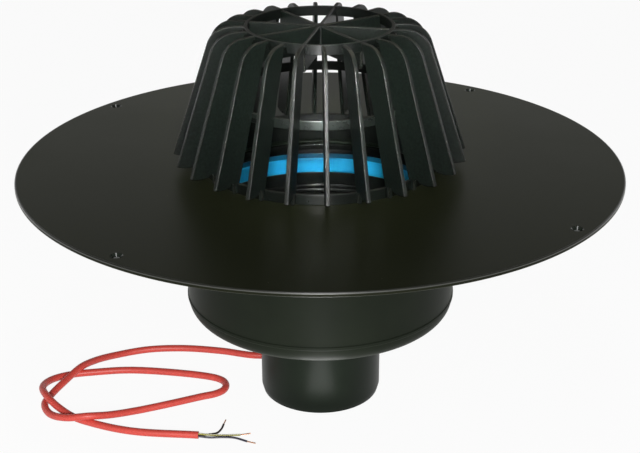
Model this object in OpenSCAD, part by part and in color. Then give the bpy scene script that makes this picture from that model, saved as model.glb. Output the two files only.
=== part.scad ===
// Heated flat roof drain with its leaf basket and connecting lead.
// It stands on the lower end of its outlet: z = 0 is that end and the Z axis is the drain's axis.
// -Y is the front. All sizes are in millimetres.

/* [Flange plate] */
// Height of the flange's top face above the lower end of the outlet
flange_top = 225; // [200:1:300]
// Diameter of the flange plate
flange_d = 527; // [420:1:600]
// Thickness of the flange plate
flange_t = 4; // [3:0.5:6]
// Bevel on the plate's outer edges
flange_bevel = 0.8; // [0.2:0.1:1.4]
// Depth of the seat under the plate that the shell and the cup end in
seat_depth = 1; // [0.5:0.1:1.5]
// Diameter of the throat, the opening in the middle of the plate
throat_d = 202; // [180:1:212]
// Number of screw holes near the plate's edge
screw_count = 4; // [3:1:12]
// Distance of a screw hole's middle from the plate's edge
screw_edge = 12.5; // [8:0.5:90]
// Angle of the first screw hole
screw_angle = 52.75; // [0:0.25:90]
// Diameter of a screw hole
screw_hole_d = 5.5; // [4:0.5:6.5]
// Diameter of a screw hole's countersink
screw_sink_d = 10; // [8:0.5:11]

/* [Outer shell] */
// Outside diameter of the shell
shell_d = 240; // [236:1:280]
// Wall of the shell
shell_wall = 2.5; // [2:0.1:3]
// Depth of the shell's underside below the flange's top face
shell_depth = 140; // [136:1:160]
// Radius of the rounding between the shell's side and its underside
shell_edge_r = 15; // [8:1:20]
// How far the bead above the rounding stands proud
shell_bead = 0.8; // [0.3:0.1:1.5]
// Height of that bead
shell_bead_h = 3; // [1.5:0.5:6]

/* [Inner cup and outlet] */
// Wall of the cup
cup_wall = 3; // [2.5:0.1:4]
// Depth of the ledge that carries the seal, below the flange's top face
ledge_depth = 54; // [50:1:70]
// Width of that ledge
ledge_w = 4.2; // [3.6:0.1:6]
// Depth of the top of the guide band below the ledge
band_depth = 66; // [64:1:80]
// Height of the guide band
band_h = 5.5; // [3:0.5:8]
// How far the guide band stands in from the wall
band_w = 1.2; // [0.5:0.1:2]
// Height of the upper end of the outlet's bore above the shell's underside
bore_rise = 18; // [16:1:24]
// Slope of the cup's floor
floor_slope = 12; // [8:1:14]
// Thickness of the cup's floor
floor_t = 3.5; // [3:0.5:5]
// Radius of the bell mouth between the floor and the bore
mouth_r = 8; // [4:1:12]
// Radius of the corner between the floor and the wall
corner_r = 6; // [2:1:10]
// Outside diameter of the outlet
outlet_d = 110; // [90:1:125]
// Wall of the outlet
outlet_wall = 4.5; // [3:0.5:6]
// Width of the collar round the outlet, which fills the hole in the shell's floor
collar_w = 3; // [2:0.5:5]
// Length of the bevel at the outlet's lower end
outlet_bevel_h = 6; // [3:1:10]
// Width of that bevel
outlet_bevel_w = 1.6; // [0.8:0.1:2.4]

/* [Seal and its ring] */
// Height of the seal
seal_h = 18.8; // [14:0.2:24]
// Height of the seal's upper lip
seal_lip_h = 4.4; // [3:0.2:6]
// Thickness of the seal at its upper lip
seal_lip_t = 2.2; // [1.6:0.1:3]
// Thickness of the seal's main band
seal_band_t = 3.8; // [3:0.1:5]
// Height of the retaining ring
ring_h = 9.8; // [7:0.2:14]
// Thickness of the retaining ring
ring_t = 3.2; // [2.4:0.1:4.5]
// How far the snap bead above the retaining ring stands in
snap_w = 0.8; // [0.4:0.1:1.2]
// Height of the snap bead
snap_h = 2.4; // [1.6:0.1:4]

/* [Leaf basket] */
// Height of the basket above the flange
basket_h = 122.5; // [100:0.5:150]
// Number of ribs
rib_count = 24; // [12:1:30]
// Angle of the first rib, from the front
rib_angle = 2.8; // [0:0.1:15]
// Thickness of a rib
rib_t = 3.5; // [2.5:0.1:5]
// Lean of the ribs from upright
rib_lean = 18.25; // [12:0.25:20]
// How far the ribs reach out past the foot ring
rib_reach = 24.5; // [18:0.5:30]
// Height of the ribs' lower outer corner above the flange
rib_lift = 9; // [7:0.5:14]
// How far the ribs' lower edge bellies down between its ends
rib_belly = 1.2; // [0.4:0.1:2.5]
// Radius of the ribs' shoulder
shoulder_r = 22; // [12:1:28]
// Radius of the notch between a rib and its leg
notch_r = 2.2; // [1:0.1:3]
// Width of a rib's leg
leg_w = 3; // [2:0.5:5]
// Height of the bar that joins a rib to the crown ring
crown_bar = 3.5; // [2.5:0.5:6]
// Wall of the basket's rings
hoop_t = 3; // [2.5:0.1:4]
// Height of the foot ring above the flange
foot_h = 9; // [6:0.5:12]
// How far the foot ring bears on the flange past the throat's edge
foot_bearing = 2.5; // [1.5:0.5:6]
// Depth to which the skirt reaches into the throat
skirt_depth = 14.5; // [8:0.5:18]
// Height of the middle ring's lower edge above the flange
middle_z = 57.5; // [40:0.5:75]
// Height of the middle ring
middle_h = 8; // [5:0.5:12]
// How far the ribs' tops lie below the crown ring's top
rib_drop = 0.4; // [0.2:0.1:1.5]
// Outside diameter of the crown ring
crown_d = 128; // [100:1:132]
// Height of the crown ring
crown_h = 8.5; // [6:0.5:14]
// Each which rib carries a web across the crown
web_every = 3; // [2:1:6]
// The first rib that carries a web
web_first = 2; // [0:1:5]
// Depth of the webs
web_h = 23; // [14:1:32]
// Thickness of the webs
web_t = 2.8; // [2:0.1:4]
// How far the webs lie below the crown ring's top
web_drop = 0.5; // [0.1:0.1:2]
// Diameter of the hub where the webs meet
hub_d = 10; // [9:0.5:16]
// How far the hub stands past the webs at each end
hub_past = 0.3; // [0.2:0.05:0.45]

/* [Heater and insulation] */
// Thickness of the heating mat
mat_t = 1.6; // [1:0.1:2.4]
// Free width between the collar and the heating mat
mat_inset = 5; // [2:1:10]
// Free width between the heating mat and the cup's side
mat_margin = 8.2; // [6:0.2:20]
// Diameter of the mat's terminal block
terminal_d = 18; // [16:0.5:22]

/* [Lead] */
// Diameter of the lead's sheath
lead_d = 6.6; // [6:0.1:8]
// Diameter of a core
core_d = 1.9; // [1.5:0.1:2.2]
// Diameter of a core's bare wire
wire_d = 1.2; // [0.6:0.1:1.4]
// Length of the grommet below the shell
grommet_l = 22; // [20:1:30]
// Diameter of the grommet's flanges
grommet_flange_d = 17; // [15:0.5:20]
// Diameter of the grommet's neck and of its hole in the shell
grommet_neck_d = 13; // [11:0.5:14]
// Diameter of the grommet's lower end
grommet_tip_d = 9.6; // [9.4:0.1:12]
// Distance of the grommet's middle from the shell's side
grommet_inset = 26; // [24:0.5:34]
// Direction in which the grommet lies from the drain's axis
grommet_angle = 77.7; // [60:0.1:120]
// Thickness of the grommet's flanges
grommet_flange_t = 2.5; // [1.5:0.5:4]

/* [Fits] */
// Clearance between the shell and what lies inside it or passes through it
shell_gap = 0.3; // [0.1:0.1:1]
// Clearance around the seal and the retaining ring
seal_gap = 0.1; // [0.05:0.05:0.5]
// Clearance between the basket's skirt and the throat
skirt_gap = 1; // [0.5:0.1:3]
// Thickness of the glue film on the heating mat
glue_gap = 0.1; // [0.05:0.05:0.3]
// Gap between a core and the sheath or the wire that it meets
core_gap = 0.15; // [0.1:0.05:0.4]
// Clearance around the lead in its grommet
lead_gap = 0.1; // [0.05:0.05:0.3]

/* [Hidden] */
$fn = 96;

// Heights
plate_z = flange_top - flange_t;
seat_z = plate_z + seat_depth;
shell_z = flange_top - shell_depth;
shell_floor_z = shell_z + shell_wall;
ledge_z = flange_top - ledge_depth;
band_z = flange_top - band_depth;
seal_z = ledge_z + seal_gap;
ring_z = seal_z + seal_h + seal_gap;
snap_z = ring_z + ring_h + seal_gap;

// Radii
throat_r = throat_d / 2;
shell_r = shell_d / 2;
shell_in_r = shell_r - shell_wall;
cup_r = shell_in_r - shell_gap;
cup_in_r = cup_r - cup_wall;
low_r = cup_in_r - ledge_w;
outlet_r = outlet_d / 2;
collar_r = outlet_r + collar_w;
bore_r = outlet_r - outlet_wall;

// The cup's floor: height of its upper and lower face at a radius
function floor_top(r) = shell_z + bore_rise + (r - bore_r) * tan(floor_slope);
function floor_under(r) = floor_top(r) - floor_t;

// Points of an arc
function arc(centre, r, from, to, steps = 8) =
    [for (i = [0:steps]) let (a = from + (to - from) * i / steps) centre + r * [cos(a), sin(a)]];

// The lead's route, from inside its grommet to the end of its sheath. It drops behind the outlet, lies
// on the ground and crosses itself three times, each time in a low hump.
grommet_x = (shell_r - grommet_inset) * cos(grommet_angle);
grommet_y = (shell_r - grommet_inset) * sin(grommet_angle);
lead_drop = [[0, 0, shell_z + 5], [0, 0, shell_z - 21], [0, 0, shell_z - 45], [-5, -4, 21], [-16, -14, 8],
    [-31, -26, 3.5]];
lead_lay = [[-34, 53, 3.4], [-62, 49, 3.4], [-98, 58.5, 3.4], [-136, 64, 3.4], [-170, 61.5, 3.4],
    [-199, 50, 3.8], [-216, 33, 7.6], [-228, 14, 10.4], [-239, -5, 7.2], [-249, -24, 3.6],
    [-252.5, -42, 3.4], [-244, -60.5, 3.9], [-227.5, -72.5, 7.4], [-208, -75, 10.4], [-190, -67.5, 7.2],
    [-168, -55, 3.8], [-138, -42, 3.4], [-111.2, -29.9, 3.4], [-96.9, -23.8, 3.4], [-90.6, -17.7, 3.4],
    [-88.6, -10, 3.4], [-90.6, -2.3, 3.4], [-96.8, 3.8, 3.4], [-116.4, 10.9, 3.4], [-180, 20.5, 3.4],
    [-215, 17, 3.4], [-240, 11, 3.6], [-253.5, -1, 5.4], [-258, -19, 8.4], [-251, -38.5, 10.4],
    [-237, -54, 6.6], [-218.5, -67.5, 3.5], [-170, -88, 3.4], [-107.5, -95.5, 3.4]];
lead_route = concat([for (p = lead_drop) [grommet_x + p.x, grommet_y + p.y, p.z]], lead_lay);
lead_end = lead_route[len(lead_route) - 1];
lead_steps = 15;

// The cores fan out from the end of the sheath, three round its middle, and lie down on the ground
core_ring_r = 1.25;
core_z = 1.1;
lead_out = (lead_end - lead_route[len(lead_route) - 2]) / norm(lead_end - lead_route[len(lead_route) - 2]);
lead_side = [-lead_out.y, lead_out.x, 0];
function core_start(a, along) =
    lead_end + along * lead_out + core_ring_r * (cos(a) * lead_side + [0, 0, sin(a)]);
brown_route = [core_start(-30, core_gap), core_start(-30, core_gap + 1.5),
    [-99, -91.6, 1.6], [-92, -88.6, core_z], [-88.4, -82, core_z],
    [-86.8, -74, core_z]];
brown_tip = [-85.4, -66.5, core_z];
earth_route = [core_start(90, core_gap), core_start(90, core_gap + 1.5),
    [-99, -94, 2.8], [-90, -92.2, core_z], [-80, -92.2, core_z],
    [-71, -91.6, core_z]];
earth_tip = [-62, -89.4, core_z];
blue_route = [core_start(210, core_gap), core_start(210, core_gap + 1.5),
    [-98, -96.6, 1.6], [-86, -95.4, core_z], [-76, -96.4, core_z],
    [-64.5, -102.4, core_z]];
blue_tip = [-57, -105.4, core_z];

// A smooth line through the points of a route: each point has a tangent, and each stretch is cut into
// steps no longer than the given one
function span(p, i) = sqrt(norm(p[i + 1] - p[i]));
function tangent(p, i) =
    i == 0 ? (p[1] - p[0]) / span(p, 0)
    : i == len(p) - 1 ? (p[i] - p[i - 1]) / span(p, i - 1)
    : (p[i] - p[i - 1]) / span(p, i - 1) - (p[i + 1] - p[i - 1]) / (span(p, i - 1) + span(p, i))
        + (p[i + 1] - p[i]) / span(p, i);
function between(p, i, s) =
    (2 * pow(s, 3) - 3 * pow(s, 2) + 1) * p[i] + (pow(s, 3) - 2 * pow(s, 2) + s) * span(p, i) * tangent(p, i)
    + (3 * pow(s, 2) - 2 * pow(s, 3)) * p[i + 1] + (pow(s, 3) - pow(s, 2)) * span(p, i) * tangent(p, i + 1);
function smooth_line(p, step) = [
    for (i = [0:len(p) - 2]) let (n = ceil(norm(p[i + 1] - p[i]) / step))
        for (k = [0:n - 1]) between(p, i, k / n),
    p[len(p) - 1]];

// A line that rests on the ground and never sinks into it
function grounded(line, r) = [for (p = line) [p.x, p.y, max(p.z, r)]];

// Directions along a line, and a side vector that turns with it
function unit(v) = v / norm(v);
function headings(line) = let (n = len(line))
    [for (i = [0:n - 1]) unit(line[min(i + 1, n - 1)] - line[max(i - 1, 0)])];
function carried(side, heading) = unit(side - (side * heading) * heading);
function sides(head, first) = [for (i = 0, s = carried(first, head[0]); i < len(head);
    i = i + 1, s = i < len(head) ? carried(s, head[i]) : s) s];

// A round tube along a line, as one closed polyhedron
module tube(line, d, facets) {
    head = headings(line);
    side = sides(head, [1, 0.3, 0.1]);
    rings = len(line);
    points = [for (i = [0:rings - 1]) for (j = [0:facets - 1]) let (a = 360 * j / facets)
        line[i] + d / 2 * (cos(a) * side[i] + sin(a) * cross(head[i], side[i]))];
    walls = [for (i = [0:rings - 2]) for (j = [0:facets - 1]) let (k = (j + 1) % facets)
        [i * facets + j, (i + 1) * facets + j, (i + 1) * facets + k, i * facets + k]];
    near_end = [for (j = [0:facets - 1]) j];
    far_end = [for (j = [facets - 1:-1:0]) (rings - 1) * facets + j];
    polyhedron(points, concat(walls, [near_end, far_end]), convexity = 10);
}

module flange_plate() {
    color("#383b33") difference() {
        rotate_extrude() polygon([
            [throat_r, seat_z],
            [shell_r + shell_gap, seat_z],
            [shell_r + shell_gap, plate_z],
            [flange_d / 2 - flange_bevel, plate_z],
            [flange_d / 2, plate_z + flange_bevel],
            [flange_d / 2, flange_top - flange_bevel],
            [flange_d / 2 - flange_bevel, flange_top],
            [throat_r, flange_top]]);
        for (i = [0:screw_count - 1]) rotate(screw_angle + 360 * i / screw_count)
            translate([flange_d / 2 - screw_edge, 0, 0]) screw_hole();
    }
}

module screw_hole() {
    sink_h = (screw_sink_d - screw_hole_d) / 2;
    translate([0, 0, plate_z - 1]) cylinder(d = screw_hole_d, h = flange_t + 2, $fn = 32);
    translate([0, 0, flange_top - sink_h])
        cylinder(d1 = screw_hole_d, d2 = screw_sink_d, h = sink_h, $fn = 32);
    translate([0, 0, flange_top]) cylinder(d = screw_sink_d, h = 1, $fn = 32);
}

module outer_shell() {
    bead_z = shell_z + shell_edge_r;
    color("#262c28") difference() {
        rotate_extrude() polygon(concat(
            [[shell_in_r, seat_z], [shell_r, seat_z], [shell_r, bead_z + shell_bead_h + shell_bead]],
            [[shell_r + shell_bead, bead_z + shell_bead_h], [shell_r + shell_bead, bead_z + shell_bead]],
            arc([shell_r - shell_edge_r, bead_z], shell_edge_r, 0, -90),
            [[collar_r + shell_gap, shell_z], [collar_r + shell_gap, shell_floor_z]],
            arc([shell_r - shell_edge_r, bead_z], shell_edge_r - shell_wall, -90, 0)));
        grommet_place() translate([0, 0, shell_z - 1]) cylinder(d = grommet_neck_d, h = shell_wall + 2);
    }
}

// Where the lead passes through the shell's floor
module grommet_place() {
    translate([grommet_x, grommet_y, 0]) children();
}

module drain_cup() {
    // The bell mouth runs into the bore and the floor, the corner into the floor and the wall
    mouth_z = floor_top(bore_r + mouth_r * (1 - sin(floor_slope))) - mouth_r * cos(floor_slope);
    corner_z = floor_top(low_r - corner_r) + corner_r / cos(floor_slope);
    color("#1b1f1c") rotate_extrude() polygon(concat(
        [[cup_in_r, seat_z], [cup_r, seat_z], [cup_r, floor_under(cup_r)]],
        [[collar_r, floor_under(collar_r)], [collar_r, shell_z], [outlet_r, shell_z]],
        [[outlet_r, outlet_bevel_h], [outlet_r - outlet_bevel_w, 0]],
        [[bore_r, 0]],
        arc([bore_r + mouth_r, mouth_z], mouth_r, 180, 90 + floor_slope),
        arc([low_r - corner_r, corner_z], corner_r, floor_slope - 90, 0),
        [[low_r, band_z - band_h - band_w], [low_r - band_w, band_z - band_h]],
        [[low_r - band_w, band_z - band_w], [low_r, band_z], [low_r, ledge_z], [cup_in_r, ledge_z]],
        [[cup_in_r, snap_z], [cup_in_r - snap_w, snap_z + snap_h / 3],
            [cup_in_r - snap_w, snap_z + snap_h * 2 / 3]],
        [[cup_in_r, snap_z + snap_h]]));
}

module seal_ring() {
    outer = cup_in_r - seal_gap;
    lip = outer - seal_lip_t;
    band = outer - seal_band_t;
    lip_z = seal_z + seal_h - seal_lip_h;
    color("#208cd7") rotate_extrude() polygon([
        [outer, seal_z], [outer, seal_z + seal_h], [lip, seal_z + seal_h], [lip - 0.4, lip_z],
        [band + 0.5, lip_z - 0.6], [band, lip_z - 3], [band, seal_z + 1], [band + 0.8, seal_z]]);
}

module retaining_ring() {
    outer = cup_in_r - seal_gap;
    inner = outer - ring_t;
    chamfer = ring_t - seal_lip_t + 0.5;
    color("#15181a") rotate_extrude() polygon([
        [outer, ring_z], [outer, ring_z + ring_h],
        [inner + 0.6, ring_z + ring_h], [inner, ring_z + ring_h - 0.6],
        [inner, ring_z + chamfer * 3], [inner + chamfer, ring_z]]);
}

// Leaf basket. Its outlines are drawn above the flange's top face, in radius and height.
foot_in_r = throat_r - skirt_gap - hoop_t;
foot_r = throat_r + foot_bearing;
rib_foot_r = foot_r + rib_reach;
// Radius of the ribs' outer and inner edge at a height
function rib_outer(z) = rib_foot_r - (z - rib_lift) * tan(rib_lean);
function rib_inner(z) = foot_r + (foot_h / 2 - z) * tan(rib_lean);

module rib() {
    rib_top = basket_h - rib_drop;
    shoulder_z = rib_top - shoulder_r;
    shoulder = [rib_outer(shoulder_z + shoulder_r * sin(rib_lean)) - shoulder_r * cos(rib_lean), shoulder_z];
    leg_r = foot_r + leg_w;
    notch = [leg_r + notch_r, rib_lift - 1];
    belly_from = notch.x + notch_r;
    bar_z = rib_top - crown_bar;
    crown_in = crown_d / 2 - hoop_t / 2;
    belly = [for (i = [1:5]) let (s = i / 6)
        [belly_from + (rib_foot_r - belly_from) * s,
         notch.y + (rib_lift - notch.y) * s - rib_belly * sin(180 * s)]];
    rotate([90, 0, 0]) translate([0, 0, -rib_t / 2]) linear_extrude(rib_t) polygon(concat(
        [[foot_r - hoop_t / 2, foot_h / 2], [foot_r - hoop_t / 2, 0], [leg_r, 0]],
        arc(notch, notch_r, 180, 0, 6),
        belly,
        [[rib_foot_r, rib_lift]],
        arc(shoulder, shoulder_r, rib_lean, 90),
        [[crown_in, rib_top], [crown_in, bar_z], [rib_inner(bar_z), bar_z]]));
}

module hoop(r, h) {
    difference() {
        cylinder(r = r, h = h);
        translate([0, 0, -1]) cylinder(r = r - hoop_t, h = h + 2);
    }
}

module foot_ring() {
    skirt_r = throat_r - skirt_gap;
    rotate_extrude() polygon([
        [foot_in_r, -skirt_depth], [skirt_r, -skirt_depth], [skirt_r, 0], [foot_r, 0], [foot_r, foot_h],
        [foot_r - hoop_t, foot_h], [foot_in_r, hoop_t]]);
}

module leaf_basket() {
    web_z = basket_h - web_drop - web_h;
    color("#3b4442") translate([0, 0, flange_top]) {
        foot_ring();
        translate([0, 0, middle_z]) hoop(rib_inner(middle_z + middle_h / 2) + hoop_t / 6, middle_h);
        translate([0, 0, basket_h - crown_h]) hoop(crown_d / 2, crown_h);
        for (i = [0:rib_count - 1]) rotate(rib_angle - 90 + 360 * i / rib_count) rib();
        for (i = [web_first:web_every:rib_count - 1]) rotate(rib_angle - 90 + 360 * i / rib_count)
            translate([hub_d / 2 - 1, -web_t / 2, web_z])
                cube([crown_d / 2 - hoop_t / 3 - hub_d / 2 + 1, web_t, web_h]);
        translate([0, 0, web_z - hub_past]) cylinder(d = hub_d, h = web_h + 2 * hub_past);
    }
}

// Heating mat, glued under the cup's floor, with the moulded block where the lead is joined to it
mat_from = collar_r + mat_inset;
mat_to = cup_r - mat_margin;

module heating_mat() {
    terminal_z = shell_floor_z + grommet_flange_t;
    color("#c4552f") {
        rotate_extrude() polygon([
            [mat_from, floor_under(mat_from) - glue_gap], [mat_to, floor_under(mat_to) - glue_gap],
            [mat_to, floor_under(mat_to) - glue_gap - mat_t],
            [mat_from, floor_under(mat_from) - glue_gap - mat_t]]);
        intersection() {
            grommet_place() translate([0, 0, terminal_z]) cylinder(d = terminal_d, h = shell_depth);
            rotate_extrude() polygon([
                [mat_from, terminal_z - 1], [mat_to, terminal_z - 1],
                [mat_to, floor_under(mat_to) - glue_gap], [mat_from, floor_under(mat_from) - glue_gap]]);
        }
    }
}

module insulation_ring() {
    inner = collar_r + shell_gap;
    outer = cup_r;
    under_mat = mat_t + 2 * glue_gap;
    edge_r = shell_edge_r - shell_wall;
    base_z = shell_floor_z + glue_gap;
    color("#d8d8d0") difference() {
        rotate_extrude() polygon(concat(
            [[inner, base_z]],
            arc([outer - edge_r, base_z + edge_r], edge_r, -90, 0),
            [[outer, floor_under(outer) - under_mat], [inner, floor_under(inner) - under_mat]]));
        grommet_place() translate([0, 0, shell_z]) cylinder(d = terminal_d + 2 * shell_gap, h = shell_depth);
    }
}

module lead_grommet() {
    color("#202321") grommet_place() difference() {
        union() {
            translate([0, 0, shell_floor_z]) cylinder(d = grommet_flange_d, h = grommet_flange_t);
            translate([0, 0, shell_z]) cylinder(d = grommet_neck_d, h = shell_wall);
            translate([0, 0, shell_z - grommet_flange_t])
                cylinder(d = grommet_flange_d, h = grommet_flange_t);
            translate([0, 0, shell_z - grommet_l])
                cylinder(d1 = grommet_tip_d, d2 = grommet_neck_d, h = grommet_l - grommet_flange_t);
        }
        translate([0, 0, shell_z - grommet_l - 1])
            cylinder(d = lead_d + 2 * lead_gap, h = grommet_l + shell_wall + grommet_flange_t + 2);
    }
}

module heating_lead() {
    color("#e85041") tube(grounded(smooth_line(lead_route, lead_steps), lead_d / 2), lead_d, 12);
}

// A core's coloured insulation, and the bare wire beyond it
module core(route, colour) {
    color(colour) tube(smooth_line(route, 4), core_d, 8);
}

module wire(route, tip) {
    end = route[len(route) - 1];
    from = end + core_gap * unit(tip - end);
    color("#b8784a") tube([from, from + (tip - from) / 2, tip], wire_d, 8);
}

module core_brown() { core(brown_route, "#2a1e1a"); }
module core_earth() { core(earth_route, "#8f8a2c"); }
module core_blue() { core(blue_route, "#3a3640"); }
module wire_brown() { wire(brown_route, brown_tip); }
module wire_earth() { wire(earth_route, earth_tip); }
module wire_blue() { wire(blue_route, blue_tip); }

flange_plate();
outer_shell();
drain_cup();
seal_ring();
retaining_ring();
leaf_basket();
heating_mat();
insulation_ring();
lead_grommet();
heating_lead();
core_brown();
core_earth();
core_blue();
wire_brown();
wire_earth();
wire_blue();
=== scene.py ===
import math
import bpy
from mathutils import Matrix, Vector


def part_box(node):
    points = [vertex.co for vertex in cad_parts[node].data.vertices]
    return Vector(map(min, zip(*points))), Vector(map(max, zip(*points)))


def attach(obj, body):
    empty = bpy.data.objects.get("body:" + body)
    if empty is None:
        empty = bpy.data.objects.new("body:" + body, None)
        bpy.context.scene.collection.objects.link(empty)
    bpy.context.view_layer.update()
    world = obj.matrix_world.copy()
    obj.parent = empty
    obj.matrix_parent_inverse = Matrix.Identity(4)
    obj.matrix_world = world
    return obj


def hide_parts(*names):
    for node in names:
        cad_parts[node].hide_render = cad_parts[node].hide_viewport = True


bl_info = {
    "name": "Flat roof drain",
    "version": (1, 0, 0),
    "blender": (4, 5, 0),
    "location": "3D View > Sidebar > Roof drain",
    "description": "Dresses a heated flat roof drain with its leaf basket and lead",
    "category": "Object",
}

import bpy
from bpy.props import FloatProperty, FloatVectorProperty, IntProperty, PointerProperty
from mathutils import Matrix, Vector

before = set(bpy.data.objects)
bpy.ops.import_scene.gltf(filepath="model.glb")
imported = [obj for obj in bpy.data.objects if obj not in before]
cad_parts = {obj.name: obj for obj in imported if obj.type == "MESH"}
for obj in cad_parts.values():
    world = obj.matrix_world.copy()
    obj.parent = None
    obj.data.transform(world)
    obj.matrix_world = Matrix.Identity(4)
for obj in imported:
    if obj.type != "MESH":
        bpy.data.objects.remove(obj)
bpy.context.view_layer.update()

MM = 0.001
UP = Vector((0, 0, 1))
plate_low, plate_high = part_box("flange_plate")
shell_low, shell_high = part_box("outer_shell")
seal_low, seal_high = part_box("seal_ring")
ring_low, ring_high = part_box("retaining_ring")

# Sizes of the solids in millimetres and degrees, named as in the part's source

SHELL_GAP = 0.3
SEAL_GAP = 0.1
CORE_GAP = 0.15
LEAD_GAP = 0.1

FLANGE_TOP = plate_high.z / MM
PLATE_Z = plate_low.z / MM
SEAT_Z = PLATE_Z + 1
FLANGE_R = 263.5
THROAT_R = 101.0
SCREW_COUNT = 4
SCREW_ANGLE = 52.75
SCREW_R = FLANGE_R - 12.5
SCREW_HOLE_R = 2.75
SCREW_SINK_R = 5.0

SHELL_Z = shell_low.z / MM
SHELL_R = 120.0
SHELL_WALL = 2.5
SHELL_FLOOR_Z = SHELL_Z + SHELL_WALL
SHELL_EDGE_R = 15
SHELL_BEAD = 0.8
SHELL_BEAD_H = 3

CUP_R = SHELL_R - SHELL_WALL - SHELL_GAP
CUP_IN_R = CUP_R - 3
LOW_R = CUP_IN_R - 4.2
OUTLET_R = 55.0
BORE_R = OUTLET_R - 4.5
BORE_RISE = 18
OUTLET_BEVEL_H = 6
OUTLET_BEVEL_W = 1.6
COLLAR_R = OUTLET_R + 3
FLOOR_T = 3.5
FLOOR_SLOPE = 12
MOUTH_R = 8
CORNER_R = 6
LEDGE_Z = FLANGE_TOP - 54
BAND_Z = FLANGE_TOP - 66
SNAP_Z = ring_high.z / MM + SEAL_GAP
SNAP_W = 0.8
SNAP_H = 2.4

SEAL_LIP_H = 4.4
SEAL_LIP_T = 2.2
SEAL_BAND_T = 3.8
RING_T = 3.2

BASKET_H = 122.5
HOOP_T = 3.0
FOOT_R = THROAT_R + 2.5
FOOT_H = 9.0
SKIRT_R = THROAT_R - 1
SKIRT_DEPTH = 14.5
MIDDLE_Z = 57.5
MIDDLE_H = 8
CROWN_R = 64
CROWN_H = 8.5
CROWN_BAR = 3.5
RIB_COUNT = 24
RIB_ANGLE = 2.8
RIB_T = 3.5
RIB_LEAN = 18.25
RIB_TAPER = math.tan(math.radians(RIB_LEAN))
RIB_FOOT_R = FOOT_R + 24.5
RIB_LIFT = 9.0
RIB_DROP = 0.4
RIB_BELLY = 1.2
SHOULDER_R = 22
NOTCH_R = 2.2
LEG_W = 3
WEB_EVERY = 3
WEB_FIRST = 2
WEB_T = 2.8
WEB_H = 23
WEB_DROP = 0.5
HUB_R = 5
HUB_PAST = 0.3

GROMMET_L = 22
GROMMET_INSET = 26
GROMMET_ANGLE = 77.7
GROMMET_X = (SHELL_R - GROMMET_INSET) * math.cos(math.radians(GROMMET_ANGLE))
GROMMET_Y = (SHELL_R - GROMMET_INSET) * math.sin(math.radians(GROMMET_ANGLE))
GROMMET_FLANGE_R = 8.5
GROMMET_FLANGE_T = 2.5
GROMMET_NECK_R = 6.5
GROMMET_TIP_R = 4.8

# Finer sizes in millimetres, of what is dressed here

AXIS_R = 0.001  # radius of a point on the axis
CUT_PAST = 1  # a cutter's reach past what it cuts
PLATE_RING_R = 180  # an added ring of points on the plate
SHELL_RING_Z = 170  # and one on the shell
RIM_W = 1.6  # width of the plate's rounded rim
BAND_STEPS = (  # inset and depth of the band's two grooves and the swell between them
    (0, 6.7), (1.2, 5.9), (1.2, 5.2), (0.4, 4.5), (0.4, 2.0), (1.2, 1.6), (1.2, 0.9), (0, 0))
GLOSS_DEPTH = 30  # reach of the glossy wall below the band
FOOT_LIFT = 0.02  # gap between the basket's foot and the plate
SOFT_EDGE = 0.5  # rounding of the seal and of the basket's rings
CRISP_EDGE = 0.3  # rounding of the clamp ring and of the grommet
BARB_COUNT = 5
BARB_RISE = 2.4  # height of the first barb above the grommet's mouth
BARB_PITCH = 3.1
CORE_R = 0.95
CORE_RING_R = 1.25
STRAND_R = 0.2
STRAND_RING_R = 0.4
STRAND_TWIST = 0.8  # turns of the strands in a wire's length
STRAND_STEPS = 16
PLATE_TURNS = 192  # facets round the plate, a screw hole and the grommet
SINK_TURNS = 40
GROMMET_TURNS = 48
WELD = 0.000005  # metres within which points become one

LEAD_R = 3.3
LEAD_ROUTE = [
    (GROMMET_X, GROMMET_Y, SHELL_Z + 5), (GROMMET_X, GROMMET_Y, SHELL_Z - 21),
    (GROMMET_X, GROMMET_Y, SHELL_Z - 45), (GROMMET_X - 5, GROMMET_Y - 4, 21),
    (GROMMET_X - 16, GROMMET_Y - 14, 8), (GROMMET_X - 31, GROMMET_Y - 26, 3.5),
    (-34, 53, 3.4), (-62, 49, 3.4), (-98, 58.5, 3.4), (-136, 64, 3.4), (-170, 61.5, 3.4),
    (-199, 50, 3.8), (-216, 33, 7.6), (-228, 14, 10.4), (-239, -5, 7.2), (-249, -24, 3.6),
    (-252.5, -42, 3.4), (-244, -60.5, 3.9), (-227.5, -72.5, 7.4), (-208, -75, 10.4),
    (-190, -67.5, 7.2), (-168, -55, 3.8), (-138, -42, 3.4), (-111.2, -29.9, 3.4),
    (-96.9, -23.8, 3.4), (-90.6, -17.7, 3.4), (-88.6, -10, 3.4), (-90.6, -2.3, 3.4),
    (-96.8, 3.8, 3.4), (-116.4, 10.9, 3.4), (-180, 20.5, 3.4), (-215, 17, 3.4), (-240, 11, 3.6),
    (-253.5, -1, 5.4), (-258, -19, 8.4), (-251, -38.5, 10.4), (-237, -54, 6.6),
    (-218.5, -67.5, 3.5), (-170, -88, 3.4), (-107.5, -95.5, 3.4),
]
LEAD_END = Vector(LEAD_ROUTE[-1])
LEAD_OUT = (LEAD_END - Vector(LEAD_ROUTE[-2])).normalized()
LEAD_SIDE = Vector((-LEAD_OUT.y, LEAD_OUT.x, 0))

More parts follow.
